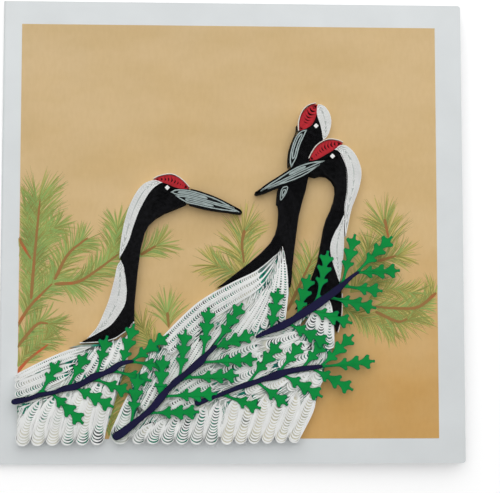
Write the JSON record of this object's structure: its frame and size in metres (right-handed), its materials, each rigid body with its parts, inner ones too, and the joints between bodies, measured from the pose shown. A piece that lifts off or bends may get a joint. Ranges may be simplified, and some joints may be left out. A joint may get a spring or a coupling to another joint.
{
  "type": "quilled greeting card",
  "caption": "Square folded card whose front carries three cranes in raised paper coils, crossed by green leaf sprays on dark stems.",
  "frame": {"origin": "on the floor under the middle of the card's outline", "axes": "+X runs from the fold across the picture, +Y up the picture, +Z out of the front panel"},
  "size_m": [0.15, 0.15, 0.0084],
  "materials": {
    "beak_grey": "matte blue-grey quilling paper",
    "card_white": "smooth matte white card",
    "crown_red": "matte red quilling paper",
    "eye_white": "matte white paper",
    "feather_white": "matte white quilling paper",
    "leaf_green": "matte green paper",
    "neck_black": "matte black quilling paper",
    "print_brown": "matte printed brown",
    "print_green": "matte printed olive green",
    "print_tan": "matte printed sand colour with faint mottling",
    "print_white": "matte printed white",
    "stem_navy": "matte navy paper",
    "strip_white": "matte white quilling paper"
  },
  "bodies": {
    "root": {"card_blank": "card_white", "centre_spray_leaves": "leaf_green", "centre_spray_stem": "stem_navy", "left_back_feathers": "feather_white", "left_beak_lower": "beak_grey", "left_beak_rim": "neck_black", "left_beak_upper": "beak_grey", "left_crown": "crown_red", "left_crown_rim": "strip_white", "left_eye": "eye_white", "left_nape_lower": "feather_white", "left_nape_upper": "feather_white", "left_neck": "neck_black", "left_neck_feathers": "feather_white", "left_skirt_feathers": "feather_white", "left_spray_leaves": "leaf_green", "left_spray_stem": "stem_navy", "left_wing_feathers": "feather_white", "lower_spray_leaves": "leaf_green", "lower_spray_stem": "stem_navy", "middle_beak_rim": "neck_black", "middle_beak_root": "beak_grey", "middle_beak_tip": "beak_grey", "middle_crown": "crown_red", "middle_crown_rim": "strip_white", "middle_eye": "eye_white", "middle_head": "neck_black", "middle_nape": "feather_white", "middle_neck": "neck_black", "print_birds": "print_white", "print_ground": "print_tan", "print_needles": "print_green", "print_twigs": "print_brown", "right_apex_feathers": "feather_white", "right_back_feathers": "feather_white", "right_beak_lower": "beak_grey", "right_beak_rim": "neck_black", "right_beak_upper": "beak_grey", "right_belly_feathers": "feather_white", "right_corner_feather": "feather_white", "right_crown": "crown_red", "right_crown_rim": "strip_white", "right_eye": "eye_white", "right_flank_feathers": "feather_white", "right_middle_feathers": "feather_white", "right_nape_lower": "feather_white", "right_nape_upper": "feather_white", "right_neck": "neck_black", "right_neck_feathers": "feather_white", "right_neck_rim": "strip_white", "right_rump_feathers": "feather_white", "right_shoulder_feathers": "feather_white", "right_skirt_feathers": "feather_white", "right_tail_feathers": "feather_white", "right_thigh_feathers": "feather_white", "right_wing_feathers": "feather_white", "upper_spray_leaves": "leaf_green", "upper_spray_stem": "stem_navy"}
  },
  "joints": []
}
